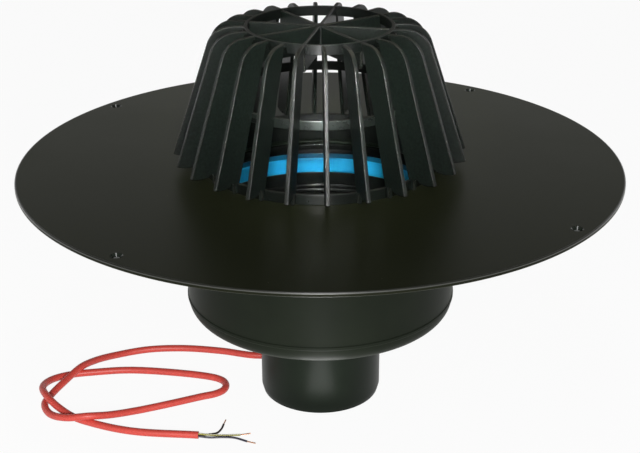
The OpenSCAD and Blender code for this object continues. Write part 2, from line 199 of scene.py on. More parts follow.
# Each core's angle round the sheath's end, the points of its route and its wire's tip
CORES = {
    "brown": (-30, [(-99, -91.6, 1.6), (-92, -88.6, 1.1), (-88.4, -82, 1.1), (-86.8, -74, 1.1)],
              (-85.4, -66.5, 1.1)),
    "earth": (90, [(-99, -94, 2.8), (-90, -92.2, 1.1), (-80, -92.2, 1.1), (-71, -91.6, 1.1)],
              (-62, -89.4, 1.1)),
    "blue": (210, [(-98, -96.6, 1.6), (-86, -95.4, 1.1), (-76, -96.4, 1.1), (-64.5, -102.4, 1.1)],
             (-57, -105.4, 1.1)),
}

# The view and the lamps: metres and radians, millimetres of lens, and watts
VIEW_FROM = (0, -1.12963, 0.65137)
VIEW_DOWN = 0.40913
VIEW_ROLL = -0.00267
VIEW_TURN = 0.00017
VIEW_LENS = 77.18
FLOOR_SIZE = 6
# Each lamp's name, place, two sizes, power, the point it faces and its spread in degrees
LAMPS = (
    ("Key", (0.02, -1.42, 0.8), 0.5, 0.3, 6, (0, 0, 0.2), 180),
    ("Front", (0, -1.46, 0.54), 0.22, 0.22, 13, (0, 0, 0.2), 180),
    ("Over", (0, -0.55, 1.6), 0.35, 0.8, 3.5, (0, 0, 0.2), 180),
    ("Basket lamp", (0, -1.05, 0.8), 0.08, 0.08, 0.32, (0, -0.01, 0.29), 15),
    ("Near strip", (0, -0.25, 0.01), 0.05, 0.35, 0.36, (0, -0.25, 1), 180),
    ("Hoop strip", (0, -1.06, 0.01), 0.12, 0.5, 3.6, (0, -1.06, 1), 180),
    ("Low panel", (0, -1.4, 0.01), 0.4, 0.6, 1.5, (0, -1.4, 1), 180),
)


# Forms that follow from the sizes

def floor_top(r):
    """Height of the top of the cup's sloping floor at a radius."""
    return SHELL_Z + BORE_RISE + (r - BORE_R) * math.tan(math.radians(FLOOR_SLOPE))


def rib_outer(z):
    """Radius of a rib's outer edge at a height above the plate."""
    return RIB_FOOT_R - (z - RIB_LIFT) * RIB_TAPER


def rib_inner(z):
    """Radius of a rib's inner edge at a height above the plate."""
    return FOOT_R + (FOOT_H / 2 - z) * RIB_TAPER


def core_start(angle, along):
    """Where a core stands, at a distance beyond the end of the sheath."""
    a = math.radians(angle)
    return LEAD_END + along * LEAD_OUT + CORE_RING_R * (
        math.cos(a) * LEAD_SIDE + Vector((0, 0, math.sin(a))))


# Settings that a user would change

class RoofDrainSizes(bpy.types.PropertyGroup):
    """Sizes of the dressed drain that the solids leave open."""

    plate_rounding: FloatProperty(
        name="Plate edge rounding", description="Rounding of the plate's outer edges",
        default=0.0014, min=0.0002, max=0.0019, precision=5, unit="LENGTH")
    wall_rounding: FloatProperty(
        name="Wall edge rounding", description="Rounding of the edges of the shell and the cup",
        default=0.0005, min=0.0001, max=0.001, precision=5, unit="LENGTH")
    rib_rounding: FloatProperty(
        name="Rib edge rounding", description="Rounding of the ribs' edges",
        default=0.0009, min=0.0001, max=0.0012, precision=5, unit="LENGTH")
    turns: IntProperty(
        name="Steps round a ring", description="Facets round each turned piece",
        default=144, min=48, max=256)
    strands: IntProperty(
        name="Strands in a wire", description="Fine strands in each bare wire, round a middle one",
        default=6, min=5, max=7)


class RoofDrainColours(bpy.types.PropertyGroup):
    """Colours of the drain's finishes."""

    plate: FloatVectorProperty(
        name="Plate", description="Colour of the flange plate", subtype="COLOR",
        min=0, max=1, default=(0.006, 0.0069, 0.0036))
    shell: FloatVectorProperty(
        name="Shell", description="Colour of the shell", subtype="COLOR",
        min=0, max=1, default=(0.0086, 0.0112, 0.0072))
    cup: FloatVectorProperty(
        name="Cup", description="Colour of the cup and the outlet", subtype="COLOR",
        min=0, max=1, default=(0.0055, 0.0086, 0.0051))
    seal: FloatVectorProperty(
        name="Seal", description="Colour of the lip seal", subtype="COLOR",
        min=0, max=1, default=(0.015, 0.31, 0.6))
    basket: FloatVectorProperty(
        name="Basket", description="Colour of the leaf basket", subtype="COLOR",
        min=0, max=1, default=(0.0016, 0.0022, 0.0017))
    lead: FloatVectorProperty(
        name="Lead", description="Colour of the lead's sheath", subtype="COLOR",
        min=0, max=1, default=(0.64, 0.07, 0.052))


def settings(context):
    """The scene's sizes and colours."""
    return context.scene.roof_drain_sizes, context.scene.roof_drain_colours


# Shaping by hand: lines drawn point by point, then turned, thickened and finished

def clear_selection():
    """Leaves edit mode and selects nothing."""
    if bpy.context.object and bpy.context.object.mode != "OBJECT":
        bpy.ops.object.mode_set(mode="OBJECT")
    bpy.ops.object.select_all(action="DESELECT")


def pick(piece):
    """Leaves edit mode, and selects and activates one piece."""
    clear_selection()
    piece.select_set(True)
    bpy.context.view_layer.objects.active = piece


def softened(outline, radius, steps=3):
    """A closed outline whose corners are rounded, in the outline's own unit."""
    least_bend, most_of_side = math.radians(18), 0.42
    out, count = [], len(outline)
    for i, corner in enumerate(outline):
        p, a, b = Vector(corner), Vector(outline[i - 1]), Vector(outline[(i + 1) % count])
        into, off = a - p, b - p
        if into.length < 1e-6 or off.length < 1e-6:
            continue
        bend = math.pi - into.angle(off)
        if bend < least_bend:
            out.append(p)
            continue
        cut = min(radius * math.tan(bend / 2), most_of_side * into.length, most_of_side * off.length)
        start, end = p + cut * into.normalized(), p + cut * off.normalized()
        for k in range(steps + 1):
            t = k / steps
            out.append((1 - t) ** 2 * start + 2 * t * (1 - t) * p + t * t * end)
    return out


def arc(centre, radius, start, end, steps=10):
    """Points of an arc, with angles in degrees."""
    found = []
    for i in range(steps + 1):
        a = math.radians(start + (end - start) * i / steps)
        found.append((centre[0] + radius * math.cos(a), centre[1] + radius * math.sin(a)))
    return found


def draw_line(name, points):
    """A line of points in metres, drawn by extruding its end and left in edit mode."""
    clear_selection()
    bpy.ops.mesh.primitive_plane_add(size=0.002, location=(0, 0, 0))
    piece = bpy.context.object
    piece.name = name
    bpy.ops.object.mode_set(mode="EDIT")
    bpy.ops.mesh.select_all(action="SELECT")
    bpy.ops.mesh.merge(type="CENTER")
    bpy.ops.transform.translate(value=points[0])
    for here, there in zip(points, points[1:]):
        bpy.ops.mesh.extrude_region_move(TRANSFORM_OT_translate={"value": tuple(there - here)})
    return piece


def weld():
    """In edit mode, makes one of the points that coincide."""
    bpy.ops.mesh.select_all(action="SELECT")
    bpy.ops.mesh.remove_doubles(threshold=WELD)


def close_up():
    """Turns a piece's faces outwards and leaves edit mode."""
    bpy.ops.mesh.select_all(action="SELECT")
    bpy.ops.mesh.normals_make_consistent(inside=False)
    bpy.ops.object.mode_set(mode="OBJECT")


def finish_mesh(piece, angle=38):
    """Smooths a piece up to an angle in degrees and evens its normals."""
    pick(piece)
    bpy.ops.object.shade_smooth_by_angle(angle=math.radians(angle))
    even = piece.modifiers.new("Even normals", "WEIGHTED_NORMAL")
    even.keep_sharp = True
    bpy.ops.object.modifier_apply(modifier=even.name)
    return piece


def turn(name, outline, steps, centre=(0, 0), smooth=True):
    """A closed outline of (radius, height) in millimetres, spun round an upright axis."""
    points = [Vector((centre[0] + r, centre[1], z)) * MM for r, z in outline]
    piece = draw_line(name, points + points[:1])
    bpy.ops.mesh.select_all(action="SELECT")
    bpy.ops.mesh.spin(
        steps=steps, angle=2 * math.pi, center=(centre[0] * MM, centre[1] * MM, 0), axis=UP)
    weld()
    close_up()
    return finish_mesh(piece) if smooth else piece


def join(name, pieces):
    """One piece out of several, named and with its place in its mesh."""
    clear_selection()
    for p in pieces:
        p.select_set(True)
    bpy.context.view_layer.objects.active = pieces[0]
    bpy.ops.object.transform_apply(location=True, rotation=True, scale=True)
    bpy.ops.object.join()
    whole = bpy.context.object
    whole.name = name
    return whole


def coat(data, *finishes):
    """Gives a mesh or curve its materials, in place of any that it has."""
    data.materials.clear()
    for finish in finishes:
        data.materials.append(finish)


def stand_for(piece, node):
    """Gives a finished piece its body, and hides the solid that it stands for."""
    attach(piece, "root")
    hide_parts(node)


def settle(piece, material, node):
    """Gives a finished piece its one material, and then does what stand_for does."""
    coat(piece.data, material)
    stand_for(piece, node)


def smooth_line(points, spacing):
    """A smooth line through points, each stretch cut into steps no longer than spacing."""
    p = [Vector(q) for q in points]
    span = [math.sqrt((b - a).length) for a, b in zip(p, p[1:])]
    tangent = [(p[1] - p[0]) / span[0]]
    for i in range(1, len(p) - 1):
        tangent.append(
            (p[i] - p[i - 1]) / span[i - 1] - (p[i + 1] - p[i - 1]) / (span[i - 1] + span[i])
            + (p[i + 1] - p[i]) / span[i])
    tangent.append((p[-1] - p[-2]) / span[-1])
    line = []
    for i in range(len(p) - 1):
        steps = math.ceil((p[i + 1] - p[i]).length / spacing)
        for k in range(steps):
            s = k / steps
            line.append(
                (2 * s ** 3 - 3 * s ** 2 + 1) * p[i]
                + (s ** 3 - 2 * s ** 2 + s) * span[i] * tangent[i]
                + (3 * s ** 2 - 2 * s ** 3) * p[i + 1] + (s ** 3 - s ** 2) * span[i] * tangent[i + 1])
    return line + [p[-1]]


def round_cord(name, lines, radius, sides):
    """Round cords along lines in millimetres, as one curve."""
    data = bpy.data.curves.new(name, "CURVE")
    data.dimensions = "3D"
    data.bevel_depth = radius * MM
    data.bevel_resolution = sides // 2 - 2
    data.use_fill_caps = True
    for line in lines:
        spline = data.splines.new("POLY")
        spline.points.add(len(line) - 1)
        for point, at in zip(spline.points, line):
            point.co = (at[0] * MM, at[1] * MM, at[2] * MM, 1)
    cord = bpy.data.objects.new(name, data)
    bpy.context.scene.collection.objects.link(cord)
    return cord


# Node building that all finishes share. A value is a number, a colour or another node's socket.

MIX_SOCKETS = {"RGBA": (6, 7, 2), "FLOAT": (2, 3, 0)}  # a Mix node's inputs and output


def fill(tree, node, values):
    """Sets or links a node's inputs, found by name or number."""
    for name, value in values.items():
        if isinstance(value, bpy.types.NodeSocket):
            tree.links.new(value, node.inputs[name])
        else:
            node.inputs[name].default_value = value


def maths(tree, operation, *values):
    """The result of one sum."""
    node = tree.nodes.new("ShaderNodeMath")
    node.operation = operation
    fill(tree, node, dict(enumerate(values)))
    return node.outputs[0]


def ramp(tree, value, low, high):
    """A value as a share: 0 at low, 1 at high."""
    node = tree.nodes.new("ShaderNodeMapRange")
    fill(tree, node, {"Value": value, "From Min": low, "From Max": high})
    return node.outputs["Result"]


def mixed(tree, share, first, second, kind="RGBA"):
    """Two colours, or with FLOAT two values, mixed by a share."""
    node = tree.nodes.new("ShaderNodeMix")
    node.data_type = kind
    first_at, second_at, result = MIX_SOCKETS[kind]
    fill(tree, node, {"Factor": share, first_at: first, second_at: second})
    return node.outputs[result]


def noise(tree, vector, scale, detail, roughness=0.5):
    """Noise at a place, as one value."""
    node = tree.nodes.new("ShaderNodeTexNoise")
    fill(tree, node, {"Vector": vector, "Scale": scale, "Detail": detail, "Roughness": roughness})
    return node.outputs["Fac"]


def upright(tree, vector):
    """The upright part of a vector."""
    node = tree.nodes.new("ShaderNodeSeparateXYZ")
    fill(tree, node, {0: vector})
    return node.outputs["Z"]


def opaque(colour):
    """A colour with its alpha."""
    return tuple(colour) + (1,)


def tinted(colour, by):
    """A colour made paler or darker."""
    return tuple(min(1, c * by) for c in colour)


# Effects that several finishes share, each made as a node group when first asked for

def new_group(name, inputs, outputs):
    """A node group with its sockets, what flows into it, and the node that it flows out by."""
    g = bpy.data.node_groups.new(name, "ShaderNodeTree")
    for side, sockets in (("INPUT", inputs), ("OUTPUT", outputs)):
        for label, kind in sockets.items():
            g.interface.new_socket(name=label, in_out=side, socket_type="NodeSocket" + kind)
    return g, g.nodes.new("NodeGroupInput").outputs, g.nodes.new("NodeGroupOutput")


def moulded_skin(name):
    """Moulded plastic or rubber: blotches of a paler tone, uneven gloss and a fine grain."""
    g, into, out = new_group(name, {
        "Vector": "Vector", "Colour": "Color", "Pale colour": "Color", "Blotch scale": "Float",
        "Blotch amount": "Float", "Grain scale": "Float", "Roughness": "Float",
        "Roughness spread": "Float"}, {"Colour": "Color", "Roughness": "Float", "Height": "Float"})
    blotch = noise(g, into["Vector"], into["Blotch scale"], 6, 0.62)
    share = maths(g, "MULTIPLY", ramp(g, blotch, 0.38, 0.68), into["Blotch amount"])
    centred = maths(g, "SUBTRACT", blotch, 0.5)
    fill(g, out, {
        "Colour": mixed(g, share, into["Colour"], into["Pale colour"]),
        "Roughness": maths(g, "MULTIPLY_ADD", centred, into["Roughness spread"], into["Roughness"]),
        "Height": noise(g, into["Vector"], into["Grain scale"], 3)})


def turning_lines(name):
    """Fine uneven rings round the upright axis, as on a turned or extruded pipe."""
    g, into, out = new_group(name, {
        "Vector": "Vector", "Height in": "Float", "Line scale": "Float", "Amount": "Float"},
        {"Height": "Float"})
    lines = g.nodes.new("ShaderNodeTexNoise")
    lines.noise_dimensions = "1D"
    fill(g, lines, {"W": upright(g, into["Vector"]), "Scale": into["Line scale"], "Detail": 4})
    fill(g, out, {
        "Height": mixed(g, into["Amount"], into["Height in"], lines.outputs["Fac"], "FLOAT")})


def settled_dust(name):
    """Pale dust that lies on what faces up, in a fine broken film."""
    g, into, out = new_group(name, {
        "Vector": "Vector", "Colour": "Color", "Roughness": "Float", "Amount": "Float",
        "Scale": "Float"}, {"Colour": "Color", "Roughness": "Float"})
    facing = upright(g, g.nodes.new("ShaderNodeNewGeometry").outputs["Normal"])
    film = noise(g, into["Vector"], into["Scale"], 8, 0.7)
    mask = maths(g, "MULTIPLY", ramp(g, facing, 0.35, 1.0), ramp(g, film, 0.42, 0.66))
    amount = maths(g, "MULTIPLY", mask, into["Amount"])
    fill(g, out, {
        "Colour": mixed(g, amount, into["Colour"], (0.085, 0.08, 0.058, 1)),
        "Roughness": mixed(g, amount, into["Roughness"], 0.85, "FLOAT")})


def fine_specks(name):
    """A few fine pale specks, one in every few cells, each under a millimetre."""
    g, into, out = new_group(name, {
        "Vector": "Vector", "Colour": "Color", "Speck colour": "Color", "Scale": "Float"},
        {"Colour": "Color"})
    cells = g.nodes.new("ShaderNodeTexVoronoi")
    fill(g, cells, {"Vector": into["Vector"], "Scale": into["Scale"]})
    parts = g.nodes.new("ShaderNodeSeparateColor")
    fill(g, parts, {0: cells.outputs["Color"]})
    few = maths(g, "GREATER_THAN", parts.outputs[0], 0.6)
    mask = maths(g, "MULTIPLY", ramp(g, cells.outputs["Distance"], 0.045, 0.02), few)
    fill(g, out, {"Colour": mixed(g, mask, into["Colour"], into["Speck colour"])})


EFFECTS = {"Moulded skin": moulded_skin, "Turning lines": turning_lines,
           "Settled dust": settled_dust, "Fine specks": fine_specks}


def add_effect(tree, name, values):
    """Adds a shared effect to a material, and gives what flows out of it."""
    if name not in bpy.data.node_groups:
        EFFECTS[name](name)
    node = tree.nodes.new("ShaderNodeGroup")
    node.node_tree = bpy.data.node_groups[name]
    fill(tree, node, values)
    return node.outputs


def skin(name, colour, pale=1.8, blotch=(60, 0.5), grain=(1500, 0.1), rough=(0.4, 0.1),
         lines=None, dust=None, specular=0.5, tint=None, sheen=None, specks=None):
    """A moulded finish. Pale is the blotches' colour, or how many times paler they are. Blotch
    and lines are (scale, amount), grain (scale, strength), rough (middle, spread), dust
    (amount, scale), sheen (weight, roughness, colour) and specks (scale, colour)."""
    m = bpy.data.materials.new(name)
    m.use_nodes = True
    tree = m.node_tree
    shader, bump = tree.nodes["Principled BSDF"], tree.nodes.new("ShaderNodeBump")
    place = tree.nodes.new("ShaderNodeTexCoord").outputs["Object"]
    body = add_effect(tree, "Moulded skin", {
        "Vector": place, "Colour": opaque(colour),
        "Pale colour": opaque(pale if isinstance(pale, tuple) else tinted(colour, pale)),
        "Blotch scale": blotch[0], "Blotch amount": blotch[1], "Grain scale": grain[0],
        "Roughness": rough[0], "Roughness spread": rough[1]})
    colour_from, rough_from, height_from = body["Colour"], body["Roughness"], body["Height"]
    if specks:
        colour_from = add_effect(tree, "Fine specks", {
            "Vector": place, "Colour": colour_from, "Scale": specks[0],
            "Speck colour": opaque(specks[1])})["Colour"]
    if dust:
        film = add_effect(tree, "Settled dust", {
            "Vector": place, "Colour": colour_from, "Roughness": rough_from, "Amount": dust[0],
            "Scale": dust[1]})
        colour_from, rough_from = film["Colour"], film["Roughness"]
    if lines:
        height_from = add_effect(tree, "Turning lines", {
            "Vector": place, "Height in": height_from, "Line scale": lines[0],
            "Amount": lines[1]})["Height"]
    fill(tree, bump, {"Strength": grain[1], "Distance": 0.0004, "Height": height_from})
    fill(tree, shader, {
        "Base Color": colour_from, "Roughness": rough_from, "Normal": bump.outputs["Normal"],
        "Specular IOR Level": specular})
    if tint:
        fill(tree, shader, {"Specular Tint": opaque(tint)})
    if sheen:
        fill(tree, shader, {
            "Sheen Weight": sheen[0], "Sheen Roughness": sheen[1], "Sheen Tint": opaque(sheen[2])})
    return m


def two_coloured(material, vector, low, high, colour):
    """A material with a second colour where the upright part of a vector passes low to high."""
    tree = material.node_tree
    shader = tree.nodes["Principled BSDF"]
    first = shader.inputs["Base Color"].links[0].from_socket
    share = ramp(tree, upright(tree, vector), low, high)
    fill(tree, shader, {"Base Color": mixed(tree, share, first, opaque(colour))})
    return material


# The finishes

def plate_sheet(colours):
    """Olive black sheet with a little dust and fine specks."""
    return skin(
        "Olive black sheet", colours.plate, 1.35, blotch=(14, 0.5), grain=(1400, 0.05),
        rough=(0.37, 0.08), dust=(0.03, 420), specular=0.078, tint=(0.93, 1.0, 0.72),
        sheen=(0.036, 0.3, (0.86, 1.0, 0.3)), specks=(90, (0.09, 0.09, 0.075)))


def drilled_sheet(colours):
    """The bright sides of the plate's screw holes."""
    return skin(
        "Drilled sheet", colours.cup, blotch=(400, 0.5), grain=(1500, 0.05), rough=(0.12, 0.05),
        specular=1)


def turned_rim(colours):
    """The plate's glossier rim."""
    return skin(
        "Turned rim", colours.plate, blotch=(200, 0.6),
        grain=(1400, 0.05), rough=(0.3, 0.08), specular=1)


def shell_moulding(colours):
    """The shell's green black plastic."""
    return skin(
        "Green black moulding", colours.shell, 1.4, blotch=(30, 0.4),
        grain=(1800, 0.05), rough=(0.46, 0.08), lines=(700, 0.35), specular=0.06,
        sheen=(0.01, 0.3, (0.86, 1.0, 0.45)))


def cup_moulding(colours):
    """The plastic of the cup and the outlet."""
    return skin(
        "Black moulding", colours.cup, 1.5, blotch=(40, 0.4),
        grain=(2000, 0.14), rough=(0.4, 0.08), lines=(900, 0.75), specular=0.11)


def glossy_wall():
    """The cup's inner wall below the seal."""
    return skin(
        "Glossy black wall", (0.004, 0.0048, 0.0042), (0.007, 0.008, 0.007),
        blotch=(60, 0.4), grain=(2000, 0.05), rough=(0.22, 0.08), specular=0.6)


def seal_rubber(colours, lip_z):
    """The seal's blue rubber, darker above the height of its lip (given in metres) as painted shade.
    """
    blue = skin(
        "Blue rubber", colours.seal, 1.15, blotch=(40, 0.4),
        grain=(2400, 0.04), rough=(0.3, 0.08))
    place = blue.node_tree.nodes.new("ShaderNodeTexCoord").outputs["Object"]
    # The darker blue above the lip is painted shade.
    return two_coloured(
        blue, place, lip_z - 0.2 * MM, lip_z + 0.3 * MM, tinted(colours.seal, 0.22))


def ring_moulding():
    """The plastic of the ring that holds the seal down."""
    return skin(
        "Black ring", (0.004, 0.0048, 0.0042), (0.0075, 0.0085, 0.0075), blotch=(60, 0.3),
        grain=(2000, 0.06), rough=(0.18, 0.08), specular=0.8)


def basket_faces(colours):
    """The basket's mottled plastic."""
    return skin(
        "Mottled black plastic", colours.basket, (0.0086, 0.0132, 0.0104), blotch=(420, 0.9),
        grain=(900, 0.45), rough=(0.4, 0.2), dust=(0.05, 500), specular=0.16)


def basket_hoop(colours):
    """The smoother outsides of the basket's rings."""
    return skin(
        "Smooth black plastic", colours.basket, (0.005, 0.0075, 0.006), blotch=(90, 0.6),
        grain=(1000, 0.08), rough=(0.25, 0.1), specular=0.4)


def basket_inside_painted_shade(colours):
    """The dull insides of the basket's rings, darker as painted shade."""
    return skin(
        "Dull black plastic with painted shade", colours.basket, (0.004, 0.0056, 0.0044), blotch=(120, 0.6),
        grain=(1000, 0.2), rough=(0.55, 0.1), specular=0.08)


def hoop_with_painted_highlight(colours):
    """The outside of the middle ring: a paler, glossier copy of the hoop finish, as a painted
    highlight.
    """
    return skin(
        "Hoop with painted highlight", colours.basket, (0.007, 0.01, 0.008), blotch=(90, 0.6),
        grain=(1000, 0.1), rough=(0.28, 0.1), specular=0.75, tint=(0.88, 1.0, 0.94))


def edge_wear_and_highlight():
    """The worn, rounded edges of the ribs and webs, paler partly as a painted highlight."""
    return skin(
        "Worn plastic edge with painted highlight", (0.0045, 0.0052, 0.0038), (0.015, 0.015, 0.0115),
        blotch=(700, 0.9), grain=(1100, 0.6), rough=(0.24, 0.2), specular=0.28)


def dulled_top():
    """What faces up on the basket, dulled by weather."""
    return skin(
        "Dulled top", (0.006, 0.0066, 0.0048), (0.022, 0.022, 0.017), blotch=(380, 0.8),
        grain=(1000, 0.25), rough=(0.72, 0.12), specular=0.1)


def salmon_silicone(colours):
    """The lead's sheath, with a little dust."""
    return skin(
        "Salmon silicone", colours.lead, 1.18, blotch=(90, 0.5), grain=(2600, 0.05),
        rough=(0.42, 0.12), dust=(0.1, 500))


def plain_core(name, colour):
    """A core's insulation in one colour."""
    return skin(name, colour, blotch=(300, 0.5))


def core_paler_on_top(name, colour, top_colour):
    """A core's insulation, with a second colour where it faces up."""
    m = skin(name, colour, blotch=(300, 0.4), grain=(4000, 0.05), rough=(0.45, 0.1))
    facing = m.node_tree.nodes.new("ShaderNodeNewGeometry").outputs["Normal"]
    return two_coloured(m, facing, 0.62, 0.7, top_colour)


def bare_copper():
    """Bare copper, a little tarnished."""
    m = skin(
        "Bare copper", (0.8, 0.42, 0.24), (0.9, 0.56, 0.36), blotch=(500, 0.8),
        grain=(6000, 0.1), rough=(0.3, 0.15))
    m.node_tree.nodes["Principled BSDF"].inputs["Metallic"].default_value = 1
    return m


def grommet_rubber():
    """Matt black rubber."""
    return skin(
        "Black rubber", (0.018, 0.019, 0.018), blotch=(200, 0.4), grain=(2600, 0.12),
        rough=(0.6, 0.12))


def orange_silicone():
    """The sealed heater's silicone."""
    return skin("Orange silicone", (0.55, 0.1, 0.04), blotch=(120, 0.4), rough=(0.55, 0.1))


def pale_foam():
    """The insulation's open foam."""
    return skin(
        "Pale foam", (0.68, 0.68, 0.62), (0.78, 0.78, 0.72), blotch=(260, 0.7),
        grain=(700, 0.5), rough=(0.85, 0.1))


def pale_floor():
    """A pale matt floor, almost white where it is seen, mirrored or seen through glass."""
    m = bpy.data.materials.new("Pale floor")
    m.use_nodes = True
    tree = m.node_tree
    shader = tree.nodes["Principled BSDF"]
    glow = tree.nodes.new("ShaderNodeEmission")
    choose = tree.nodes.new("ShaderNodeMixShader")
    fill(tree, shader, {
        "Base Color": (0.86, 0.86, 0.86, 1), "Roughness": 0.9, "Specular IOR Level": 0.1})
    seen = tree.nodes.new("ShaderNodeLightPath").outputs
    straight = maths(tree, "MAXIMUM", seen["Is Camera Ray"], seen["Is Glossy Ray"])
    either = maths(tree, "MAXIMUM", straight, seen["Is Transmission Ray"])
    share = maths(tree, "MULTIPLY", either, 0.94)
    fill(tree, choose, {0: share, 1: shader.outputs[0], 2: glow.outputs[0]})
    fill(tree, tree.nodes["Material Output"], {"Surface": choose.outputs[0]})
    return m


# The stage

def add_camera(scene):
    """A camera that looks down on the drain, with a slight roll and turn."""
    data = bpy.data.cameras.new("View")
    data.lens = VIEW_LENS
    camera = bpy.data.objects.new("View", data)
    scene.collection.objects.link(camera)
    camera.location = VIEW_FROM
    tilt = Matrix.Rotation(math.radians(90) - VIEW_DOWN, 3, "X") @ Matrix.Rotation(VIEW_ROLL, 3, "Z")
    camera.rotation_euler = (Matrix.Rotation(VIEW_TURN, 3, "Z") @ tilt).to_euler()
    scene.camera = camera


def add_studio(scene):
    """Light from all round, bright low down and dim overhead."""
    scene.world = bpy.data.worlds.new("Studio")
    scene.world.use_nodes = True
    tree = scene.world.node_tree
    fall = tree.nodes.new("ShaderNodeMapRange")
    fall.interpolation_type = "SMOOTHSTEP"
    towards = tree.nodes.new("ShaderNodeTexCoord").outputs["Generated"]
    fill(tree, fall, {
        "Value": upright(tree, towards), "From Min": 0.23, "From Max": 0.41,
        "To Min": 0.965, "To Max": 0.11})
    fill(tree, tree.nodes["Background"], {"Color": fall.outputs["Result"]})


def add_lamps(scene):
    """The lamps, each turned to face its point and hidden from the camera."""
    for name, place, size, long, watts, aim, spread in LAMPS:
        data = bpy.data.lights.new(name, "AREA")
        data.shape, data.size, data.size_y, data.energy = "RECTANGLE", size, long, watts
        data.spread = math.radians(spread)
        lamp = bpy.data.objects.new(name, data)
        scene.collection.objects.link(lamp)
        lamp.location = place
        lamp.rotation_euler = (Vector(aim) - Vector(place)).to_track_quat("-Z", "Y").to_euler()
        lamp.visible_camera = False


class ROOFDRAIN_OT_stage(bpy.types.Operator):
    """Sets up the camera, the floor and the studio light."""

    bl_idname = "roof_drain.stage"
    bl_label = "Stage"

    def execute(self, context):
        scene = context.scene
        scene.view_settings.view_transform = "Standard"
        add_camera(scene)
        add_studio(scene)
        clear_selection()
        bpy.ops.mesh.primitive_plane_add(size=FLOOR_SIZE, location=(0, 0, 0))
        floor = context.object
        floor.name = "floor"
        coat(floor.data, pale_floor())
        add_lamps(scene)
        return {"FINISHED"}


# The pieces

def strand_lines(end, tip, count):
    """Lines of a bare wire's strands: one straight, the rest twisted round it."""
    heading = (tip - end).normalized()
    start, reach = end + CORE_GAP * heading, (tip - end).length - CORE_GAP
    across = heading.cross(UP).normalized()
    over = across.cross(heading)
    steps = range(STRAND_STEPS + 1)
    middle = [start + heading * reach * k / STRAND_STEPS for k in steps]
    lines = [middle]
    for s in range(count):
        turned = [2 * math.pi * (s / count + STRAND_TWIST * k / STRAND_STEPS) for k in steps]
        lines.append([at + STRAND_RING_R * (math.cos(a) * across + math.sin(a) * over)
                      for at, a in zip(middle, turned)])
    return lines


class ROOFDRAIN_OT_lead(bpy.types.Operator):
    """Lays the lead with its three stripped cores and their bare strands."""

    bl_idname = "roof_drain.lead"
    bl_label = "Lead"

    def execute(self, context):
        sizes, colours = settings(context)
        line = smooth_line(LEAD_ROUTE, 3)
        for p in line:
            p.z = max(p.z, LEAD_R)
        lead = round_cord("lead_sheath", [line], LEAD_R, 20)
        settle(lead, salmon_silicone(colours), "heating_lead")
        finishes = {
            "brown": plain_core("Brown core", (0.02, 0.012, 0.009)),
            "earth": core_paler_on_top("Earth core", (0.26, 0.24, 0.03), (0.62, 0.6, 0.46)),
            "blue": plain_core("Grey core", (0.035, 0.032, 0.048)),
        }
        bright = bare_copper()
        on_it = []
        for name, (angle, way, tip) in CORES.items():
            route = [core_start(angle, CORE_GAP), core_start(angle, CORE_GAP + 1.5)]
            route += [Vector(p) for p in way]
            core = round_cord("core_" + name + "_skin", [smooth_line(route, 1)], CORE_R, 14)
            settle(core, finishes[name], "core_" + name)
            strands = strand_lines(route[-1], Vector(tip), sizes.strands)
            wire = round_cord("strands_" + name, strands, STRAND_R, 8)
            pick(wire)
            bpy.ops.object.convert(target="MESH")
            wire = context.object
            settle(wire, bright, "wire_" + name)
            on_it += [core, wire]
        return {"FINISHED"}


def make_sinks():
    """The shapes of the screw holes, reaching past both faces of the plate."""
    low, high = PLATE_Z - CUT_PAST, FLANGE_TOP + CUT_PAST
    sink_z = FLANGE_TOP - (SCREW_SINK_R - SCREW_HOLE_R)
    outline = [(AXIS_R, low), (SCREW_HOLE_R, low), (SCREW_HOLE_R, sink_z),
               (SCREW_SINK_R, FLANGE_TOP), (SCREW_SINK_R, high), (AXIS_R, high)]
    shapes = []
    for i in range(SCREW_COUNT):
        a = math.radians(SCREW_ANGLE + 360 / SCREW_COUNT * i)
        centre = (SCREW_R * math.cos(a), SCREW_R * math.sin(a))
        shapes.append(turn("sink_%d" % i, outline, SINK_TURNS, centre, smooth=False))
    return join("sinks", shapes)


class ROOFDRAIN_OT_plate(bpy.types.Operator):
    """Turns the flange plate and sinks its screw holes."""

    bl_idname = "roof_drain.plate"
    bl_label = "Flange plate"

    def execute(self, context):
        sizes, colours = settings(context)
        outline = softened([
            (THROAT_R, SEAT_Z), (SHELL_R + SHELL_GAP, SEAT_Z), (SHELL_R + SHELL_GAP, PLATE_Z),
            (PLATE_RING_R, PLATE_Z), (FLANGE_R, PLATE_Z), (FLANGE_R, FLANGE_TOP),
            (PLATE_RING_R, FLANGE_TOP), (THROAT_R, FLANGE_TOP)], sizes.plate_rounding / MM)
        plate = turn("roof_plate", outline, PLATE_TURNS, smooth=False)
        cutter = make_sinks()
        finishes = plate_sheet(colours), drilled_sheet(colours), turned_rim(colours)
        drilled, rim = 1, 2
        coat(plate.data, *finishes)
        coat(cutter.data, *finishes)
        for face in cutter.data.polygons:
            face.material_index = drilled
        cut = plate.modifiers.new("Screw holes", "BOOLEAN")
        cut.operation, cut.solver, cut.object = "DIFFERENCE", "EXACT", cutter
        pick(plate)
        bpy.ops.object.modifier_apply(modifier=cut.name)
        bpy.data.objects.remove(cutter)
        for face in plate.data.polygons:
            if face.center.xy.length > (FLANGE_R - RIM_W) * MM and 0.05 < face.normal.z < 0.99:
                face.material_index = rim
        finish_mesh(plate, 30)
        stand_for(plate, "flange_plate")
        return {"FINISHED"}


